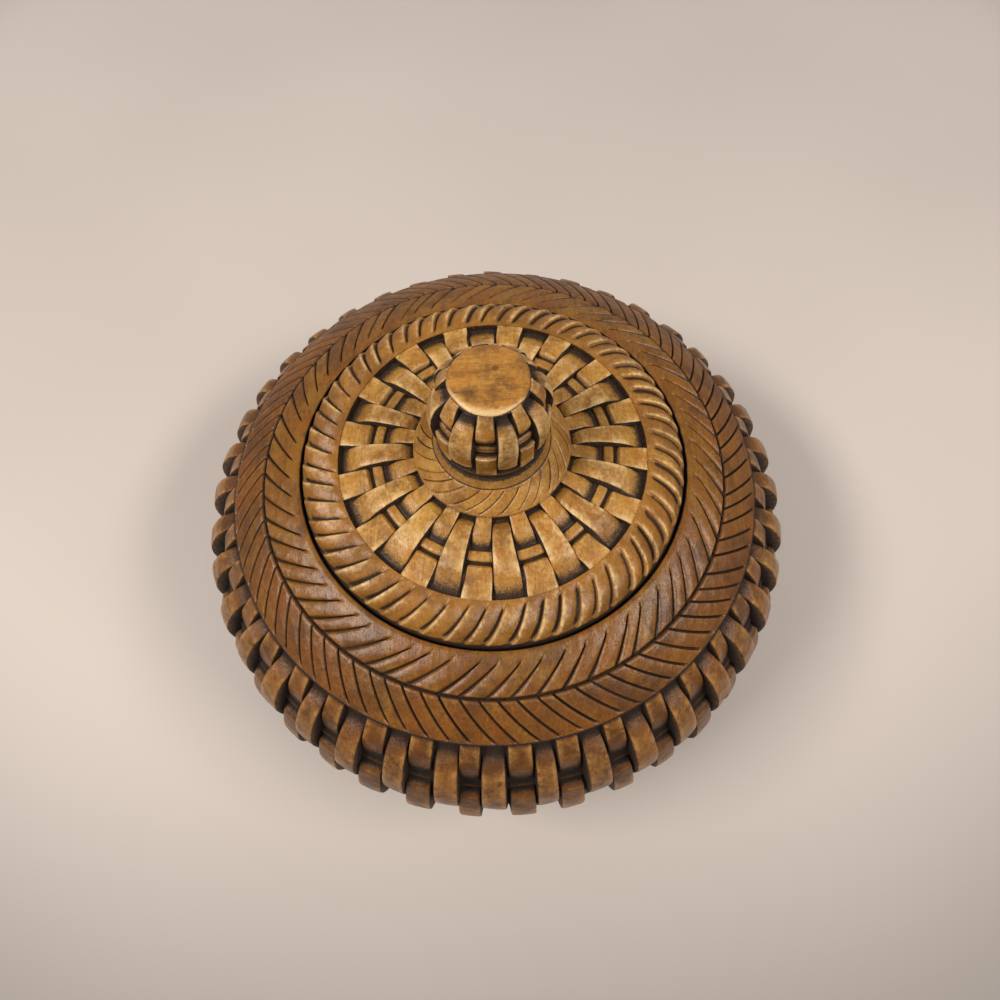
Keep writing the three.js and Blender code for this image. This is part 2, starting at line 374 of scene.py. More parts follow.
# Turned and carved shapes
def ease(low: float, high: float, value: Grid) -> Grid:
    """Smooth step from 0 at low to 1 at high."""
    share = np.clip((value - low) / (high - low), 0.0, 1.0)
    return share * share * (3.0 - 2.0 * share)


class Section:
    """A curve of radius and height in millimetres, with its outer side on the right as it runs."""

    SPACING = 0.05

    def __init__(self, points: list[Pair] | Grid) -> None:
        """Measures the curve and places its stations.

        Args:
            points: the curve's corner points.
        """
        corners = np.asarray(points, float)
        steps = np.r_[0.0, np.cumsum(np.hypot(*np.diff(corners, axis=0).T))]
        self.length = float(steps[-1])
        self.stations = np.linspace(0.0, self.length, max(int(self.length / self.SPACING), 8))
        self.points = np.stack([np.interp(self.stations, steps, corners[:, i]) for i in range(2)], 1)
        tangent = np.gradient(self.points, self.stations, axis=0)
        tangent /= np.linalg.norm(tangent, axis=1)[:, None]
        self.normals = np.stack([tangent[:, 1], -tangent[:, 0]], 1)

    def at(self, distance: Grid, relief: Grid) -> tuple[Grid, Grid]:
        """Radius and height of points so far along the curve and so far outside it."""
        radius, height, out, up = (np.interp(distance, self.stations, column)
                                   for column in (*self.points.T, *self.normals.T))
        return radius + relief * out, height + relief * up


def bulge(widest: Pair, edge: Pair, steps: int = 60) -> Grid:
    """Arc that is upright at its widest point.

    Args:
        widest: radius and height of the widest point, where the arc ends.
        edge: radius and height of the edge, where it starts.
        steps: pieces in the arc.

    Returns:
        Its points, from the edge to the widest point.
    """
    inward, along = widest[0] - edge[0], edge[1] - widest[1]
    radius = (inward ** 2 + along ** 2) / (2 * inward)
    sweep = np.linspace(math.atan2(along, radius - inward), 0.0, steps + 1)
    return np.stack([widest[0] - radius + radius * np.cos(sweep), widest[1] + radius * np.sin(sweep)], 1)


def bulging_side(lower: Pair, widest: Pair, upper: Pair) -> Grid:
    """Points of a side that swells between two edges, from the lower one to the upper one."""
    return np.vstack([bulge(widest, lower), bulge(widest, upper)[::-1][1:]])


def crowned(start: Pair, middle: Pair, end: Pair, steps: int = 80) -> Grid:
    """Quadratic curve that leans towards a point.

    Args:
        start: where it starts.
        middle: the point that it leans towards.
        end: where it ends.
        steps: pieces in the curve.

    Returns:
        Its points.
    """
    share = np.linspace(0.0, 1.0, steps + 1)[:, None]
    a, b, c = (np.asarray(point, float) for point in (start, middle, end))
    return (1 - share) ** 2 * a + 2 * share * (1 - share) * b + share ** 2 * c


@dataclass
class Relief:
    """A carved band as grids with a row for each turning and a column for each cut line.

    Attributes:
        distance: how far along the band's section each point is.
        angle: degrees round the axis.
        relief: millimetres above the turned face.
        tone: a number of its own for each strip or leaf.
        stain: share of the stain that stays in the cut, and of painted shade on the lid rope's outer wall.
    """

    distance: Grid
    angle: Grid
    relief: Grid
    tone: Grid
    stain: Grid


def spread(values: Grid, reach: Pair) -> Grid:
    """Blurs an even grid that closes on itself from its last column to its first.

    Args:
        values: the grid.
        reach: width of the blur in rows and in columns.

    Returns:
        The blurred grid.
    """
    rows = values.shape[0]
    padded = np.vstack([values[::-1], values, values[::-1]])
    wave = [np.fft.fftfreq(padded.shape[0])[:, None], np.fft.rfftfreq(padded.shape[1])[None, :]]
    fall = sum((2 * math.pi * w * r) ** 2 / 2 for w, r in zip(wave, reach))
    return np.fft.irfft2(np.fft.rfft2(padded) * np.exp(-fall), padded.shape)[rows:2 * rows]


def lowness(band: Relief, radius: float, reaches: Pair, spacing: float = 0.2) -> list[Grid]:
    """How far each crossing of a band lies below what is round it, in millimetres.

    Args:
        band: the band.
        radius: its mean radius.
        reaches: how far round each crossing to look, one result for each.
        spacing: pitch of the even grid that the band is read onto.

    Returns:
        One grid like the band's for each reach.
    """
    def around(to: Grid, angles: Grid, grid: Grid) -> Grid:
        """Reads each row of a grid at other angles."""
        return np.stack([np.interp(*row, period=360.0) for row in zip(to, angles, grid)])

    def lengthwise(to: Grid, places: Grid, grid: Grid) -> Grid:
        """Reads each column of a grid at other places along the band."""
        return np.stack([np.interp(to, places, column) for column in grid.T], 1)

    turns = np.mod(band.angle, 360.0)
    even_angle = np.arange(int(2 * math.pi * radius / spacing)) * spacing / radius * 180 / math.pi
    along = band.distance.mean(1)
    even_along = np.arange(along.min(), along.max() + spacing, spacing)
    rows = around([even_angle] * len(turns), turns, band.relief)
    even = lengthwise(even_along, along, rows)
    results = []
    for reach in reaches:
        back = lengthwise(along, even_along, spread(even, (reach / spacing, reach / spacing)))
        results.append(around(turns, [even_angle] * len(turns), back) - band.relief)
    return results


@dataclass
class CarvedRing:
    """A closed solid of revolution with a carved band for its face and a plain back that lies in the wood.

    Attributes:
        name: the piece's name.
        section: the curve of the carved face.
        band: what is carved on it.
        back: plain points from the end of the face round to its start.
        closed: False where the section starts and ends on the axis.
        before: plain points ahead of the face, for a piece that starts on the axis.
        back_stain_and_shade: stain and painted shade of the points of the back; the last value goes on to the
            end.
        before_stain_and_shade: the same for the points ahead of the face.
        uneven: how far the back is from round, as a share of its radius.
    """

    name: str
    section: Section
    band: Relief
    back: list[Pair]
    closed: bool = True
    before: list[Pair] = field(default_factory=list)
    back_stain_and_shade: Row = (0.0,)
    before_stain_and_shade: Row = (0.0,)
    uneven: float = 0.0

    START = 5.0  # radius of the blank's first point, in units
    MERGE = 0.001  # points of the blank that are closer than this are one
    SMOOTH = math.radians(55.0)
    LOOK_ROUND = (1.3, 0.4)  # millimetres round a point that its hollow and its edge are told from

    def blank(self, rows: int, columns: int) -> bpy.types.Object:
        """Turns a loop of points about the axis, with an attribute that keeps each point's row.

        Args:
            rows: points in the section.
            columns: steps round the axis.

        Returns:
            The blank, a cone of even steps that is still to be shaped.
        """
        bpy.ops.object.select_all(action="DESELECT")
        bpy.ops.mesh.primitive_circle_add(vertices=rows, radius=1.0, fill_type="NOTHING")
        blank = bpy.context.active_object
        blank.name = blank.data.name = self.name
        step = np.arange(rows) * 1.0
        points = np.stack([self.START + step, np.zeros(rows), step], 1)
        if not self.closed:
            points[[0, -1], 0] = 0.0
        blank.data.vertices.foreach_set("co", points.ravel())
        blank.data.attributes.new("row", "INT", "POINT").data.foreach_set("value", np.arange(rows))
        if not self.closed:
            self.open_loop(blank, rows)
        lathe = blank.modifiers.new("lathe", "SCREW")
        lathe.axis, lathe.angle = "Z", 2 * math.pi
        lathe.steps = lathe.render_steps = columns
        lathe.use_merge_vertices, lathe.merge_threshold = True, self.MERGE
        bpy.ops.object.modifier_apply(modifier=lathe.name)
        bpy.ops.object.mode_set(mode="EDIT")
        bpy.ops.mesh.select_all(action="SELECT")
        bpy.ops.mesh.remove_doubles(threshold=self.MERGE)
        bpy.ops.object.mode_set(mode="OBJECT")
        return blank

    @staticmethod
    def open_loop(blank: bpy.types.Object, rows: int) -> None:
        """Takes out the edge of a loop that would run along the axis.

        Args:
            blank: the loop.
            rows: points in it.
        """
        bpy.ops.object.mode_set(mode="EDIT")
        bpy.ops.mesh.select_mode(type="EDGE")
        bpy.ops.object.mode_set(mode="OBJECT")
        for edge in blank.data.edges:
            edge.select = set(edge.vertices) == {0, rows - 1}
        bpy.ops.object.mode_set(mode="EDIT")
        bpy.ops.mesh.delete(type="EDGE")
        bpy.ops.object.mode_set(mode="OBJECT")

    def whole(self, face: Grid, before: Grid | Row = (0.0,), back: Grid | Row = (0.0,)) -> Grid:
        """Puts the plain points' values before and after those of the carved face.

        Args:
            face: the carved face's grid.
            before: values of the points ahead of the face; the last one goes on.
            back: values of the back's points, likewise.

        Returns:
            A grid with a row for each point of the section.
        """
        ends = [[values[min(index, len(values) - 1)] for index in range(len(points))]
                for points, values in ((self.before, before), (self.back, back))]
        ahead, behind = (np.repeat(np.asarray(end, float)[:, None], face.shape[1], 1) for end in ends)
        return np.vstack([ahead, face, behind])

    def shape(self) -> tuple[Grid, Grid, Grid]:
        """Works out where every point of the piece goes.

        Returns:
            Radius, height and angle in degrees, by row and column.
        """
        radius, height = self.section.at(self.band.distance, self.band.relief)
        before, back = (np.asarray(points, float).reshape(-1, 2) for points in (self.before, self.back))
        radius = self.whole(radius, before[:, 0], back[:, 0])
        height = self.whole(height, before[:, 1], back[:, 1])
        angle = np.pad(self.band.angle, ((len(before), len(back)), (0, 0)), "edge")
        if self.uneven:  # three slow waves round the edge
            around = np.radians(self.band.angle[-1:])
            waves = np.sin(3 * around + 1.0) + 0.7 * np.sin(5 * around + 2.6) + 0.5 * np.sin(8 * around)
            radius[len(radius) - len(back):] *= 1.0 + self.uneven * waves
        return radius, height, angle

    def build(self, body: str, node: str, slot: str, material: bpy.types.Material) -> bpy.types.Object:
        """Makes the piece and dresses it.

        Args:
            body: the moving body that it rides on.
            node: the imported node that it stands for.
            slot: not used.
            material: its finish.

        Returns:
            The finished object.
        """
        radius, height, angle = self.shape()
        rows, columns = radius.shape
        piece = self.blank(rows, columns)
        mesh = piece.data
        row = np.zeros(len(mesh.vertices), np.int32)
        mesh.attributes["row"].data.foreach_get("value", row)
        spot = np.zeros(len(mesh.vertices) * 3, np.float32)
        mesh.vertices.foreach_get("co", spot)
        spot = spot.reshape(-1, 3)
        column = np.rint(np.arctan2(spot[:, 1], spot[:, 0]) / (2 * math.pi / columns)).astype(int) % columns
        turn = np.radians(angle[row, column])
        r, z = radius[row, column], height[row, column]
        where = np.stack([r * np.sin(turn), -r * np.cos(turn), z], 1) * MM
        mesh.vertices.foreach_set("co", where.astype(np.float32).ravel())

        band = self.band
        hollow, edge = lowness(band, float(self.section.points[:, 0].mean()), self.LOOK_ROUND)
        marks = {"stain": self.whole(band.stain, self.before_stain_and_shade, self.back_stain_and_shade),
                 "hollow": self.whole(hollow), "edge": self.whole(edge), "tone": self.whole(band.tone)}
        for name, grid in marks.items():
            mesh.attributes.new(name, "FLOAT", "POINT").data.foreach_set(
                "value", grid[row, column].astype(np.float32))
        mesh.attributes.remove(mesh.attributes["row"])
        mesh.update()

        bpy.ops.object.select_all(action="DESELECT")
        piece.select_set(True)
        bpy.context.view_layer.objects.active = piece
        bpy.ops.object.mode_set(mode="EDIT")
        bpy.ops.mesh.select_all(action="SELECT")
        bpy.ops.mesh.normals_make_consistent(inside=False)
        bpy.ops.object.mode_set(mode="OBJECT")
        bpy.ops.object.shade_smooth_by_angle(angle=self.SMOOTH)
        mesh.materials.clear()
        mesh.materials.append(material)
        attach(piece, body)
        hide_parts(node)
        LOG.info("%s: %d faces, rides on %s", piece.name, len(mesh.polygons), body)
        return piece


# Carved bands
@dataclass(frozen=True)
class Weave:
    """Strips that run along a band and pass over and under thin weft bars that run round it.

    Of each pair of strips, the first is tucked in at both ends of the band and the second lies flush there.
    Lengths are in millimetres. Where two values stand for one form, the first is towards the band's start.
    """

    pairs: int
    wefts: int
    phase: float
    slit: float
    crest: float
    floor: float
    bar_depth: float
    bar_width: float
    groove: float
    tuck: Pair
    emerge: Pair
    slopes: tuple[Pair, ...]
    tuck_depth: float
    arch: float
    bar_stain: float
    soak: float
    sway: tuple[Pair, ...]
    row_pitch: float
    seed: int
    swell: float = 1.0
    ramp: float = 1.2
    tuck_ramp: float = 1.5
    edge_stain: float = 1.0
    seam: float = 0.0
    tone: float = 0.0
    slit_depth: float = 1.1
    bar_line: float = 0.0
    wander: float = 0.25

    # Cut lines across a strip, its rounding, and the powers that keep that and the stain to its edges.
    ACROSS = (-1.0, -0.96, -0.82, -0.45, 0.0, 0.45, 0.82, 0.96, 1.0)
    ROUND_EDGE, ROUNDED, RUBBED, SOAKED = 0.14, 14, 50, 1.4
    # Half width of the seam, drop at a bar's edges, width of its middle line in half bars, slits' greatest
    # depth under the floor, and height above it from which a bar counts.
    SEAM_WIDTH, BAR_DROP, LINE_WIDTH, SLIT_FLOOR, BAR_SHOWS = 0.3, 0.28, 0.22, 0.25, 0.05
    # The carver's errors: strips and slits in pitches, slits as shares, then height, bend, twist and tone.
    STRIP_ERROR, SLIT_ERROR, SLIT_SHARES = 0.035, 0.03, (0.75, 1.3)
    LIFT_ERROR, LIFT_LIMIT, BEND, TWIST, TONE_ERROR = 0.08, 1.03, 0.16, 0.6, 1.2
    # Distance from an end at which the errors are full.
    CALM = 3.0
    # Samples along the band, width of their blur, and how much closer rows lie where it is steep.
    SAMPLES, BLUR, STEEPNESS = 4000, 120, 2.2

    def offsets(self, distance: Grid, length: float) -> list[Grid]:
        """Distances from the middle of each weft bar."""
        pitch = length / (self.wefts + 1)
        return [distance - (index + 1) * pitch for index in range(self.wefts)]

    def strip_line(self, distance: Grid, length: float, tucked: bool) -> tuple[Grid, Grid]:
        """Course of the middle line of a strip, without the weft bars.

        Args:
            distance: how far along the band.
            length: the band's length.
            tucked: whether the strip is tucked in at the band's ends.

        Returns:
            Millimetres above the turned face, and how far the strip dives, from 0 to 1.
        """
        reach = length / (self.wefts + 1) * self.swell
        height, dive, under = (np.zeros_like(distance) for _ in range(3))
        for index, offset in enumerate(self.offsets(distance, length)):
            if (index % 2 == 0) == tucked:
                share = np.clip(np.abs(offset) / reach, 0.0, 1.0)
                height = np.maximum(height, self.crest * np.cos(share * math.pi / 2) ** 2)
            else:
                slope = np.where(offset < 0, *self.slopes[index])
                share = np.clip((np.abs(offset) - (self.bar_width / 2 + self.groove)) / slope, 0.0, 1.0)
                dive = np.maximum(dive, (1.0 - share) ** self.ramp)
        if tucked:
            for gap, tuck, emerge in zip((distance, length - distance), self.tuck, self.emerge):
                share = np.clip((gap - tuck) / emerge, 0.0, 1.0)
                under = np.maximum(under, (1.0 - share) ** self.tuck_ramp)
        height = height * (1.0 - dive) * (1.0 - under) - self.floor * dive - self.tuck_depth * under
        if self.seam and not tucked:
            under = np.exp(-(np.minimum(distance, length - distance) / self.SEAM_WIDTH) ** 2)
            height = height - self.seam * under
        return height, np.maximum(dive, under)

    def bar_height(self, distance: Grid, length: float) -> Grid:
        """Height of the weft bars, or of the floor between them.

        Args:
            distance: how far along the band.
            length: the band's length.

        Returns:
            Millimetres above the turned face.
        """
        height = np.full_like(distance, -self.floor)
        for offset in self.offsets(distance, length):
            share = np.abs(offset) / (self.bar_width / 2)
            line = self.bar_line * np.exp(-(share / self.LINE_WIDTH) ** 2)
            top = -self.bar_depth - self.BAR_DROP * share ** 4 - line
            height = np.where(share <= 1.0, np.maximum(height, top), height)
        return height

    def stations(self, length: float) -> Grid:
        """Rows along the band, closer together where a strip or a bar is steep.

        Args:
            length: the band's length.

        Returns:
            How far along the band each row is.
        """
        fine = np.linspace(0.0, length, self.SAMPLES)
        steep = np.zeros_like(fine)
        for tucked in (True, False):
            line = np.maximum(self.strip_line(fine, length, tucked)[0], self.bar_height(fine, length))
            steep = np.maximum(steep, np.abs(np.gradient(line, fine)))
        blur = np.ones(self.BLUR) / self.BLUR
        weight = np.convolve(np.sqrt(1.0 + (self.STEEPNESS * steep) ** 2), blur, mode="same")
        total = np.r_[0.0, np.cumsum((weight[1:] + weight[:-1]) / 2 * np.diff(fine))]
        count = int(total[-1] / self.row_pitch)
        return np.interp(np.linspace(0.0, total[-1], count + 1), total, fine)

    def cut_lines(self, radius: float, chance: np.random.Generator) -> Grid:
        """Angles of the cut lines of each strip in degrees, the last in the slit that follows it.

        Args:
            radius: the band's mean radius.
            chance: the carver's hand.

        Returns:
            A row for each strip.
        """
        strips = 2 * self.pairs
        pitch = 360.0 / strips
        centres = self.phase + np.arange(strips) * pitch
        drift = np.zeros(strips)
        for order, (size, phase) in enumerate(self.sway):
            drift = drift + size * np.sin(np.radians((order + 1) * centres) + phase)
        centres = centres + drift + chance.normal(0.0, self.STRIP_ERROR * pitch, strips)
        nexts = np.roll(centres, -1)
        nexts[-1] += 360.0
        bounds = (centres + nexts) / 2 + chance.normal(0.0, self.SLIT_ERROR * pitch, strips)
        lows = np.roll(bounds, 1)
        lows[0] -= 360.0
        gaps = math.degrees(self.slit / radius) * chance.uniform(*self.SLIT_SHARES, strips)
        left = lows + np.roll(gaps, 1) / 2
        right = bounds - gaps / 2
        middle, half = (left + right) / 2, (right - left) / 2
        lines = middle[:, None] + half[:, None] * np.asarray(self.ACROSS)[None, :]
        return np.hstack([lines, bounds[:, None]])

    def carve(self, length: float, radius: float) -> Relief:
        """Lays out the band.

        Args:
            length: length of the band along its section.
            radius: its mean radius.

        Returns:
            The carved band.
        """
        chance = np.random.default_rng(self.seed)
        nominal = self.cut_lines(radius, chance)
        strips, columns = nominal.shape
        rows = self.stations(length)
        run = rows / length
        calm = ease(0.0, self.CALM, rows) * ease(0.0, self.CALM, length - rows)
        shift = chance.normal(0.0, self.wander, strips)
        lift = np.minimum(1.0 + chance.normal(0.0, self.LIFT_ERROR, strips), self.LIFT_LIMIT)
        bend = chance.normal(0.0, self.BEND, (strips, 3))
        tones = chance.normal(self.tone, self.TONE_ERROR, strips)

        bar = self.bar_height(rows, length)
        courses = [self.strip_line(rows, length, strip % 2 == 0) for strip in range(strips)]
        profiles = [height * np.where(height > 0, lift[strip], 1.0)
                    for strip, (height, _) in enumerate(courses)]
        bottom = -max(self.floor, self.tuck_depth) - self.SLIT_FLOOR
        spot = np.asarray(self.ACROSS)[None, :]
        relief, distance, angle, tone, stain = (np.zeros((len(rows), strips * columns)) for _ in range(5))
        for strip, own in enumerate(profiles):
            whole = slice(strip * columns, (strip + 1) * columns)
            face, slit = slice(whole.start, whole.stop - 1), whole.stop - 1
            shape = own[:, None] - self.arch * spot ** 2 - self.ROUND_EDGE * np.abs(spot) ** self.ROUNDED
            shape = shape + self.TWIST * bend[strip, 2] * spot * calm[:, None]
            relief[:, face] = np.minimum(np.maximum(shape, bar[:, None]), self.crest * self.LIFT_LIMIT)
            low = np.minimum(own, profiles[(strip + 1) % strips]) - self.slit_depth
            relief[:, slit] = np.maximum(np.maximum(low, bottom), bar)
            soak = (self.soak * courses[strip][1][:, None] ** self.SOAKED
                    + self.edge_stain * np.abs(spot) ** self.RUBBED)
            on_bar = (bar[:, None] > shape) & (bar[:, None] > -self.floor + self.BAR_SHOWS)
            stain[:, face] = np.where(on_bar, self.bar_stain, np.minimum(soak, 1.0))
            stain[:, slit] = 1.0
            distance[:, whole] = (rows + shift[strip] * calm)[:, None]
            waver = bend[strip, 0] * np.sin(math.pi * run) + bend[strip, 1] * np.sin(2 * math.pi * run)
            angle[:, whole] = nominal[strip] + (math.degrees(1.0 / radius) * waver * calm)[:, None]
            tone[:, whole] = tones[strip]
        edges = ((1, 1), (0, 0))
        angle, tone, stain = (np.pad(grid, edges, "edge") for grid in (angle, tone, stain))
        distance = np.pad(distance, edges)
        distance[-1] = length
        return Relief(distance, angle, np.pad(relief, edges), tone, stain)


@dataclass(frozen=True)
class SlantedCuts:
    """Cuts that run across a band at a slant, like the veins of a leaf or the lays of a rope.

    lean is how far a cut has gone round, in degrees, from the band's start to its end. places run across one
    pitch, from 0 to 1, and depths has the depth at each as a share of the full depth. start_depths has the
    depths at the band's start, where they are others.
    """

    count: int
    phase: float
    lean: float
    depth: float
    places: Row
    depths: Row
    fade: float
    curve: float
    rows: int
    seed: int
    start_depths: Row = ()
    start_plain: float = 0.0
    end_plain: float = 0.0
    start_line: float = 0.0
    end_line: float = 0.0
    line_width: float = 0.35
    line_gap: float = 0.0
    stain_from: Pair = (0.12, 0.75)
    start_stain_and_shade: float = 0.0
    tone: float = 0.0
    wander: float = 0.25
    uneven: float = 0.06

    # Shares of crowding towards the ends and of even steps in the rows; where the start's depths give way.
    CROWDED, EVEN, GIVE_WAY = 0.55, 0.45, (0.1, 0.8)

    def carve(self, length: float, radius: float) -> Relief:
        """Lays out the band.

        Args:
            length: length of the band along its section.
            radius: its mean radius, which only a weave needs.

        Returns:
            The carved band.
        """
        chance = np.random.default_rng(self.seed)
        share = np.linspace(0.0, 1.0, self.rows + 1)
        ends = (0.5 - 0.5 * np.cos(math.pi * share)) * self.CROWDED + share * self.EVEN
        rows = ends * length
        along = rows / length
        pitch = 360.0 / self.count
        step = chance.normal(0.0, self.uneven * pitch, self.count)
        starts = self.phase + np.arange(self.count) * pitch + step
        nexts = np.roll(starts, -1)
        nexts[-1] += 360.0
        places, depths = np.asarray(self.places), np.asarray(self.depths)
        nominal = (starts[:, None] + (nexts - starts)[:, None] * places[None, :]).ravel()
        lean = self.lean * (along + self.curve * along * (1.0 - along))
        short = chance.uniform(-self.wander, self.wander, (2, self.count))
        strong = chance.uniform(1.0 - 4.0 * self.uneven, 1.15, self.count)
        first = np.asarray(self.start_depths or depths)
        across = first[None, :] + (depths - first)[None, :] * ease(*self.GIVE_WAY, along)[:, None]
        cut = np.zeros((len(rows), len(nominal)))
        for index in range(self.count):
            fall = np.ones_like(rows)
            for plain, gap, early in ((self.start_plain, rows, short[0, index]),
                                      (self.end_plain, length - rows, short[1, index])):
                if plain:
                    fall = fall * ease(0.0, self.fade, gap - plain - early)
            columns = slice(index * len(places), (index + 1) * len(places))
            cut[:, columns] = strong[index] * across * fall[:, None]
        relief, stain = -self.depth * cut, ease(*self.stain_from, cut)
        # A dark band at the start: a dark joint on the shoulder's edge, and painted shadow on the lid rope's
        # outer wall.
        if self.start_stain_and_shade:
            stain = np.maximum(stain, 1.0 - ease(self.start_stain_and_shade * 0.6, self.start_stain_and_shade, rows)[:, None])
        for line, gap in ((self.start_line, rows), (self.end_line, length - rows)):
            if line:
                groove = np.exp(-((gap - self.line_gap) / self.line_width) ** 2)[:, None]
                relief, stain = np.minimum(relief, -line * groove), np.maximum(stain, groove)
        tone = np.repeat(chance.normal(self.tone, 1.0, self.count), len(places))
        return Relief(np.repeat(rows[:, None], len(nominal), 1), nominal[None, :] + lean[:, None], relief,
                      np.repeat(tone[None, :], len(rows), 0), stain)


def plain_band(length: float, rows: int, columns: int) -> Relief:
    """A band that is turned and left plain.

    Args:
        length: length of the band along its section.
        rows: steps along it.
        columns: steps round it.

    Returns:
        The band.
    """
    distance = np.repeat(np.linspace(0.0, length, rows + 1)[:, None], columns, 1)
    angle = np.repeat((np.arange(columns) * 360.0 / columns)[None, :], rows + 1, 0)
    blank = np.zeros_like(distance)
    return Relief(distance, angle, blank, blank, blank)


# The box's parts. A pair is a radius and a height.
@dataclass(frozen=True)
class Bowl:
    """The bowl: a core with its hollow, the woven side and the two rows of slanted cuts on the shoulder."""

    belly: Pair = (58.4, 28.0)
    shoulder: Pair = (49.4, 50.3)
    skirt: Pair = (49.4, 5.7)
    foot: Pair = (43.0, 3.2)
    mouth: Pair = (35.2, 57.0)
    land_width: float = 0.8
    shoulder_crown: float = 0.9
    ledge_height: float = 52.5
    throat: Pair = (31.5, 50.3)
    wall: float = 9.2
    floor: float = 7.0
    midline: float = 0.5
    weave: Weave = Weave(
        pairs=40, wefts=3, phase=-1.8, slit=0.65, crest=1.5, floor=1.5, bar_depth=1.05, bar_width=1.5,
        groove=0.35, tuck=(1.0, 1.0), emerge=(6.0, 6.0), slopes=((6.2, 1.5), (2.4, 2.4), (1.5, 6.2)),
        bar_line=0.12, tuck_depth=2.3, arch=0.03, seam=0.3, soak=1.45, bar_stain=0.58,
        edge_stain=0.6, tone=-4.0, sway=((0.25, 0.0), (1.0, 0.1)), row_pitch=0.98, seed=11)
    outer_cuts: SlantedCuts = SlantedCuts(
        count=85, phase=11.3, lean=-8.3, depth=0.6,
        places=(0.0, 0.05, 0.1, 0.2, 0.5, 0.8, 0.9, 0.95),
        depths=(1.0, 0.74, 0.08, -0.06, -0.05, -0.02, 0.08, 0.74),
        start_plain=0.2, fade=0.7, curve=0.04, tone=-3.5, rows=24, end_line=0.5, line_gap=0.14,
        line_width=0.18, start_stain_and_shade=0.25, uneven=0.07, seed=21)
    inner_cuts: SlantedCuts = SlantedCuts(
        count=62, phase=2.5, lean=10.8, depth=0.65,
        places=(0.0, 0.036, 0.078, 0.2, 0.5, 0.8, 0.922, 0.964),
        depths=(1.0, 0.6, 0.06, -0.06, -0.05, -0.02, 0.06, 0.6),
        start_depths=(1.0, 0.95, 0.5, -0.06, -0.05, -0.02, 0.35, 0.92),
        end_plain=0.5, fade=1.5, curve=-0.04, rows=26, start_line=0.5, line_gap=0.14, line_width=0.18,
        uneven=0.08, seed=22)

    # Depth under the belly, radius of the edges and their two heights, for the carved side's hidden back
    # and, a little further out, for the core's face behind it.
    SIDE_BACK, CORE_FACE = (4.8, 45.0, 8.4, 47.6), (4.0, 45.4, 8.0, 48.2)
    # Mean radii of the two rows of cuts.
    OUTER_ROW, INNER_ROW = 46.0, 39.5

    def swollen(self, depth: float, edge: float, low: float, high: float) -> Grid:
        """Points from low to high of a side that lies so deep under the belly and ends at that radius."""
        return bulging_side((edge, low), (self.belly[0] - depth, self.belly[1]), (edge, high))

    def shoulder_curve(self) -> Grid:
        """The shoulder, from its edge to the plain land round the mouth.

        Returns:
            Its points.
        """
        land = (self.mouth[0] + self.land_width, self.mouth[1])
        middle = tuple((a + b) / 2 for a, b in zip(self.shoulder, land))
        return crowned(self.shoulder, (middle[0], middle[1] + 2 * self.shoulder_crown), land)

    def shoulder_rings(self) -> list[CarvedRing]:
        """Makes the two rows of cuts, which meet at the herringbone's middle line.

        Returns:
            The outer row and the inner row.
        """
        curve = self.shoulder_curve()
        split = int(len(curve) * self.midline)
        outer, inner = Section(curve[:split + 1]), Section(curve[split:])
        (x, y), (mouth, top), ledge = curve[split], self.mouth, self.ledge_height
        return [
            CarvedRing("bowl_outer_cuts", outer, self.outer_cuts.carve(outer.length, self.OUTER_ROW),
                       [(x - 0.1, y - 0.5), (x - 0.1, y - 1.8), (46.4, 49.6)]),
            CarvedRing("bowl_inner_cuts", inner, self.inner_cuts.carve(inner.length, self.INNER_ROW),
                       [(mouth + 0.25, top), (mouth + 0.07, top - 0.08), (mouth, top - 0.3),
                        (mouth, ledge - 0.6), (x - 3.0, ledge - 0.9), (x + 0.1, y - 1.8), (x + 0.1, y - 0.5)],
                       # Painted shade on the mouth's edge and inner wall, in the gap under the lid.
                       back_stain_and_shade=(0.1, 0.8, 1.0))]

    def rings(self) -> list[CarvedRing]:
        """Makes the bowl's solids.

        Returns:
            The core, the woven side and the two rows of cuts.
        """
        side = Section(bulging_side(self.skirt, self.belly, self.shoulder))
        back = self.swollen(*self.SIDE_BACK)[::-1]
        woven = CarvedRing("bowl_woven_side", side, self.weave.carve(side.length, self.belly[0]),
                           [(48.3, 50.1), *map(tuple, back[::8]), (48.3, 5.9)])
        throat, ledge, foot, mouth = self.throat[0], self.ledge_height, self.foot[0], self.mouth[0]
        hollow = self.swollen(self.wall, throat, self.floor, self.throat[1])[::-1]
        inside = Section([(mouth + 1.4, ledge), (throat + 0.2, ledge), (throat, ledge - 0.2),
                          *map(tuple, hollow[::4])])
        core = CarvedRing(
            "bowl_core", inside, plain_band(inside.length, 60, 192), [(0.0, self.floor)], closed=False,
            before=[(0.0, 0.0), (foot - 0.3, 0.0), (foot, 0.3), self.foot, self.skirt, (46.6, 6.3),
                    *map(tuple, self.swollen(*self.CORE_FACE)[::10]), (44.5, 49.0), (mouth + 1.6, 51.6)])
        return [core, woven, *self.shoulder_rings()]


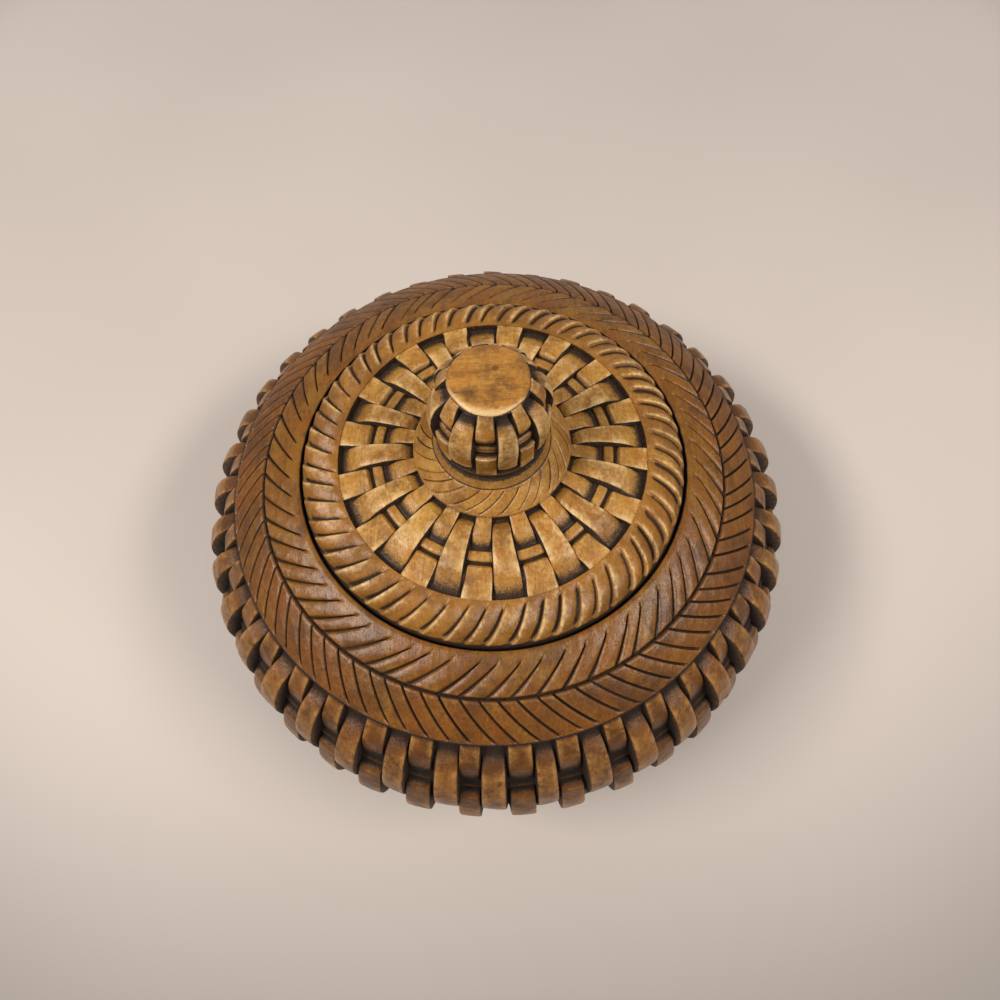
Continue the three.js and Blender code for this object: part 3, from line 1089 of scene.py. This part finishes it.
@dataclass(frozen=True)
class Lid:
    """The lid: a core with spigot and dish, the woven disc, the rope rim and the leaf ring under the knob."""

    rim: Pair = (34.75, 57.0)
    ledge_height: float = 52.5
    disc: Pair = (27.7, 59.9)
    rope_crown: float = 0.7
    rope_lip: float = 0.2
    edge_drop: float = 0.7
    spigot: Pair = (31.0, 49.5)
    dish_depth: float = 2.5
    dish_radius: float = 27.5
    dish_slope: float = 3.0
    ring: Pair = (13.9, 61.9)
    ring_lip: float = 0.4
    collar: Pair = (10.3, 65.4)
    boss: Pair = (9.5, 66.8)
    weave: Weave = Weave(
        pairs=16, wefts=1, phase=3.5, slit=0.26, crest=0.62, floor=1.05, bar_depth=0.42, bar_width=1.8,
        groove=0.32, tuck=(0.15, 0.1), emerge=(4.4, 2.2), slopes=((0.8, 2.6),), swell=1.05,
        arch=0.05, slit_depth=0.35, wander=0.18, sway=((2.0, 0.45),), row_pitch=0.34,
        tuck_depth=1.35, tuck_ramp=1.35, ramp=1.1, bar_stain=0.08, soak=1.15, seed=31)
    # The rope's dark start is painted shadow on its outer wall, in the gap over the bowl.
    rope: SlantedCuts = SlantedCuts(
        count=58, phase=0.9, lean=8.4, depth=0.88,
        places=(0.0, 0.05, 0.1, 0.17, 0.3, 0.5, 0.7, 0.85, 0.94),
        depths=(0.86, 0.66, 0.02, -0.14, -0.06, 0.14, 0.4, 0.6, 0.76),
        start_depths=(1.0, 0.8, 0.1, -0.12, -0.05, 0.08, 0.3, 0.58, 0.88),
        start_plain=0.5, end_plain=0.05, fade=1.9, curve=0.2, rows=34, wander=0.25,
        stain_from=(0.32, 0.95), start_stain_and_shade=1.7, tone=-5.0, seed=32)
    veins: SlantedCuts = SlantedCuts(
        count=28, phase=15.0, lean=24.0, depth=0.3,
        places=(0.0, 0.035, 0.09, 0.25, 0.5, 0.75, 0.92, 0.965),
        depths=(1.0, 0.7, 0.1, -0.15, -0.25, -0.15, 0.1, 0.7),
        start_plain=0.2, end_plain=0.1, fade=0.5, curve=0.1, rows=18, wander=0.35, end_line=0.15,
        line_width=0.12, stain_from=(0.1, 1.15), uneven=0.11, seed=33)

    # Mean radii of the rope, the weave and the veins.
    ROPE_ROW, WEAVE_ROW, VEIN_ROW = 31.5, 21.0, 12.0

    def rope_ring(self) -> CarvedRing:
        """Makes the twisted rope that is the lid's rim.

        Returns:
            The rope.
        """
        (rim, edge), (inner, top), ledge = self.rim, self.disc, self.ledge_height
        curve = Section(crowned((rim, edge - self.edge_drop), (rim, top + self.rope_crown),
                                (inner, top + self.rope_lip)))
        return CarvedRing(
            "lid_rope_rim", curve, self.rope.carve(curve.length, self.ROPE_ROW),
            [(inner, top - 0.3), (inner, edge - 1.0), (30.0, ledge + 0.1), (30.4, ledge),
             (rim - 0.2, ledge), (rim, ledge + 0.2)])

    def woven_disc(self) -> CarvedRing:
        """Makes the weave between the rope and the leaf ring.

        Returns:
            The woven disc.
        """
        (outer, low), (inner, high) = self.disc, self.ring
        line = Section([self.disc, self.ring])
        return CarvedRing(
            "lid_woven_disc", line, self.weave.carve(line.length, self.WEAVE_ROW),
            [(inner - 0.5, high + 0.2), (inner - 1.5, high - 3.0), (outer + 0.6, low - 3.4),
             (outer + 0.6, low - 0.2)])

    def leaf_ring(self) -> CarvedRing:
        """Makes the veined slope that rises to the knob, with the boss that the knob sits on.

        Returns:
            The leaf ring.
        """
        (ring, low), (collar, high), (boss, seat) = self.ring, self.collar, self.boss
        line = Section([(ring, low + self.ring_lip), self.collar])
        return CarvedRing(
            "lid_leaf_ring", line, self.veins.carve(line.length, self.VEIN_ROW),
            [(collar - 0.25, high + 0.05), (boss, seat - 0.15), (boss - 0.2, seat), (boss - 1.2, seat),
             (boss - 1.6, seat - 0.6), (ring - 2.0, low - 1.5), (ring - 0.1, low - 1.5), self.ring],
            # Painted shadow under the knob on the collar and boss, hidden points fully stained, and a dark
            # joint at the ring's edge.
            back_stain_and_shade=(0.25, 0.4, 0.8, 1.0, 1.0, 1.0, 1.0, 0.6))

    def rings(self) -> list[CarvedRing]:
        """Makes the lid's solids.

        Returns:
            The core, the woven disc, the rope and the leaf ring.
        """
        spigot, bottom = self.spigot
        dish = bottom + self.dish_depth
        under = Section([(0.6, dish), (self.dish_radius - self.dish_slope, dish), (self.dish_radius, bottom),
                         (spigot - 0.2, bottom), (spigot, bottom + 0.2), (spigot, 53.4)])
        core = CarvedRing(
            "lid_core", under, plain_band(under.length, 70, 192),
            [(29.4, 55.6), (28.6, 56.8), (self.ring[0], 59.3), (self.boss[0] - 0.4, 65.2), (0.0, 65.2)],
            closed=False, before=[(0.0, dish)])
        return [core, self.woven_disc(), self.rope_ring(), self.leaf_ring()]


@dataclass(frozen=True)
class Knob:
    """The knob: a tenon and neck, the woven ball and the disc on top, its front edge rubbed pale with a
    painted highlight.
    """

    seat: Pair = (8.7, 66.8)
    neck: float = 2.7
    base_radius: float = 9.5
    radius: float = 9.8
    belly: float = 7.6
    top: float = 15.6
    shoulder_radius: float = 6.6
    disc_radius: float = 6.35
    disc_height: float = 0.5
    disc_chamfer: float = 0.6
    tenon_radius: float = 3.6
    tenon_length: float = 6.7
    weave: Weave = Weave(
        pairs=8, wefts=1, phase=12.5, slit=0.5, crest=0.5, floor=1.3, bar_depth=0.85, bar_width=1.4,
        groove=0.4, tuck=(1.5, 0.6), emerge=(0.35, 3.3), slopes=((0.4, 2.0),), swell=1.1,
        arch=0.1, slit_depth=0.6, bar_line=0.25, bar_stain=0.4, wander=0.12, row_pitch=0.27,
        tuck_depth=1.3, soak=1.9, sway=((3.0, 0.6), (2.0, 2.0)), seed=41)

    def rings(self) -> list[CarvedRing]:
        """Makes the knob's solid.

        Returns:
            The one solid.
        """
        base, belly, top = (self.seat[1] + rise for rise in (self.neck, self.belly, self.top))
        rim, lift, (neck, seat), root = self.disc_radius, top + self.disc_height, self.seat, self.base_radius
        side = Section(bulging_side((root, base), (self.radius, belly), (self.shoulder_radius, top)))
        tenon, foot = self.tenon_radius, seat - self.tenon_length
        return [CarvedRing(
            "knob_woven_ball", side, self.weave.carve(side.length, self.radius),
            [(rim - 0.15, top + 0.02), (rim, top + 0.12), (rim - 0.05, lift - 0.28),
             (rim - 0.25, lift - 0.12), (rim - self.disc_chamfer, lift - 0.03), (rim - 1.0, lift),
             (rim * 0.6, lift), (rim * 0.3, lift), (0.0, lift)],
            closed=False,
            before=[(0.0, foot), (tenon - 0.3, foot), (tenon, foot + 0.3), (tenon, seat), self.seat,
                    (neck + 0.15, seat + 0.5), (root - 0.2, base - 0.5), (root - 0.1, base - 0.2)],
            # Stain and painted shade on the neck under the ball and under the disc's rim; the tenon's stains
            # lie hidden in the lid.
            before_stain_and_shade=(1.0, 1.0, 1.0, 1.0, 1.0, 0.9, 0.2, 0.35), back_stain_and_shade=(0.9, 0.4, 0.0), uneven=0.012)]


# The scene
@dataclass(frozen=True)
class Lamp:
    """A soft lamp with a rectangular face. Lengths are in metres and power in watts."""

    name: str
    size: Pair
    place: Triple
    power: float
    aim: Triple = (0.0, 0.0, 0.03)
    colour: Triple = (1.0, 0.94, 0.87)

    def build(self) -> None:
        """Adds the lamp to the scene."""
        data = bpy.data.lights.new(self.name, "AREA")
        data.shape = "RECTANGLE"
        data.size, data.size_y = self.size
        data.energy, data.color = self.power, self.colour
        lamp = bpy.data.objects.new(self.name, data)
        bpy.context.scene.collection.objects.link(lamp)
        lamp.location = self.place
        lamp.rotation_euler = (Vector(self.aim) - Vector(self.place)).to_track_quat("-Z", "Y").to_euler()


@dataclass(frozen=True)
class Studio:
    """Floor, light and camera. The camera's numbers were fitted to the circles of the box in the photograph.

    Angles are in degrees, the camera's place in millimetres and the floor's size in metres.
    """

    lens: float = 25.2
    sensor: float = 36.0
    near: float = 0.005
    place: Triple = (0.79, -59.38, 170.82)
    depression: float = 65.88
    yaw: float = -0.2626
    roll: float = 1.9537
    floor_size: float = 3.0
    lamps: tuple[Lamp, ...] = (
        Lamp("left_strip", (0.28, 0.10), (-0.35, -0.10, 0.50), 3.0),
        Lamp("right_strip", (0.28, 0.10), (0.35, -0.13, 0.50), 2.2),
        Lamp("far_wall", (1.2, 0.5), (0.0, 0.75, 0.30), 0.4))
    room_colour: Row = (1.0, 0.96, 0.92, 1.0)
    room_light: float = 0.40

    def camera(self) -> None:
        """Adds the camera and makes it the scene's."""
        tilt, yaw, roll = (math.radians(value) for value in (self.depression, self.yaw, self.roll))
        ahead = Vector((-math.sin(yaw) * math.cos(tilt), math.cos(yaw) * math.cos(tilt), -math.sin(tilt)))
        level_up = Vector((-math.sin(yaw) * math.sin(tilt), math.cos(yaw) * math.sin(tilt), math.cos(tilt)))
        level_right = Vector((math.cos(yaw), math.sin(yaw), 0.0))
        right = math.cos(roll) * level_right - math.sin(roll) * level_up
        upward = math.sin(roll) * level_right + math.cos(roll) * level_up
        data = bpy.data.cameras.new("camera")
        data.lens, data.sensor_width, data.clip_start = self.lens, self.sensor, self.near
        camera = bpy.data.objects.new("camera", data)
        bpy.context.scene.collection.objects.link(camera)
        turn = Matrix((right, upward, -ahead)).transposed().to_4x4()
        camera.matrix_world = Matrix.Translation(Vector(self.place) * MM) @ turn
        bpy.context.scene.camera = camera

    def floor(self) -> None:
        """Lays the floor and gives it its pale material."""
        bpy.ops.object.select_all(action="DESELECT")
        bpy.ops.mesh.primitive_plane_add(size=self.floor_size)
        floor = bpy.context.active_object
        floor.name = "floor"
        floor.data.materials.append(PaleFloor().material())

    def room(self) -> None:
        """Gives the room its dim even light."""
        world = bpy.data.worlds.new("room")
        bpy.context.scene.world = world
        world.use_nodes = True
        back = world.node_tree.nodes["Background"]
        back.inputs["Color"].default_value = self.room_colour
        back.inputs["Strength"].default_value = self.room_light

    def build(self) -> None:
        """Sets up the whole studio."""
        self.camera()
        self.floor()
        for lamp in self.lamps:
            lamp.build()
        self.room()
        bpy.context.scene.view_settings.view_transform = "Standard"


BOWL_WOOD = StainedWood(
    "bowl_wood", light=(124, 84, 20), main=(100, 58, 9), deep=(54, 29, 6), stain=(30, 17, 8),
    worn_and_highlight=(174, 128, 72), ember=(127, 71, 6), grain=GrainWay.FRONT_TO_BACK, mottle=0.5, wear_and_highlight=0.4, sheen=0.34,
    seed=3.1)
LID_WOOD = StainedWood(
    "lid_wood", light=(175, 131, 62), main=(138, 94, 34), deep=(90, 54, 17), stain=(34, 20, 10),
    worn_and_highlight=(212, 180, 126), ember=(158, 98, 24), grain=GrainWay.FRONT_TO_BACK, mottle=0.5, wear_and_highlight=0.5,
    sheen=0.34, seed=7.3)
KNOB_WOOD = StainedWood(
    "knob_wood", light=(171, 123, 55), main=(132, 88, 31), deep=(78, 45, 14), stain=(34, 18, 8),
    worn_and_highlight=(216, 184, 130), ember=(160, 103, 32), grain=GrainWay.SIDE_TO_SIDE, mottle=0.6, wear_and_highlight=0.5,
    sheen=0.38, seed=12.9,
    # The last mark is the disc's pale front edge: rubbing and a painted highlight.
    marks=(Mark((1.0, 1.7, 82.9), (0.75, 0.3), 0.6), Mark((-3.0, -2.6, 82.9), (1.9, 0.3), 0.6),
           Mark((1.2, -3.4, 82.9), (1.3, 0.3), 0.12), Mark((0.5, 2.0, 82.9), (6.9, 8.1), 0.7, False, 82.5)))


def main() -> None:
    """Builds the studio and the three pieces of the box."""
    logging.basicConfig(level=logging.INFO, format="%(message)s")
    Studio().build()
    for part, body, node, wood in ((Bowl(), "bowl", "bowl", BOWL_WOOD), (Lid(), "lid", "lid", LID_WOOD),
                                   (Knob(), "lid", "knob", KNOB_WOOD)):
        material = wood.material()
        for ring in part.rings():
            ring.build(body, node, wood.name, material)
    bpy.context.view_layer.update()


if __name__ == "__main__":
    main()
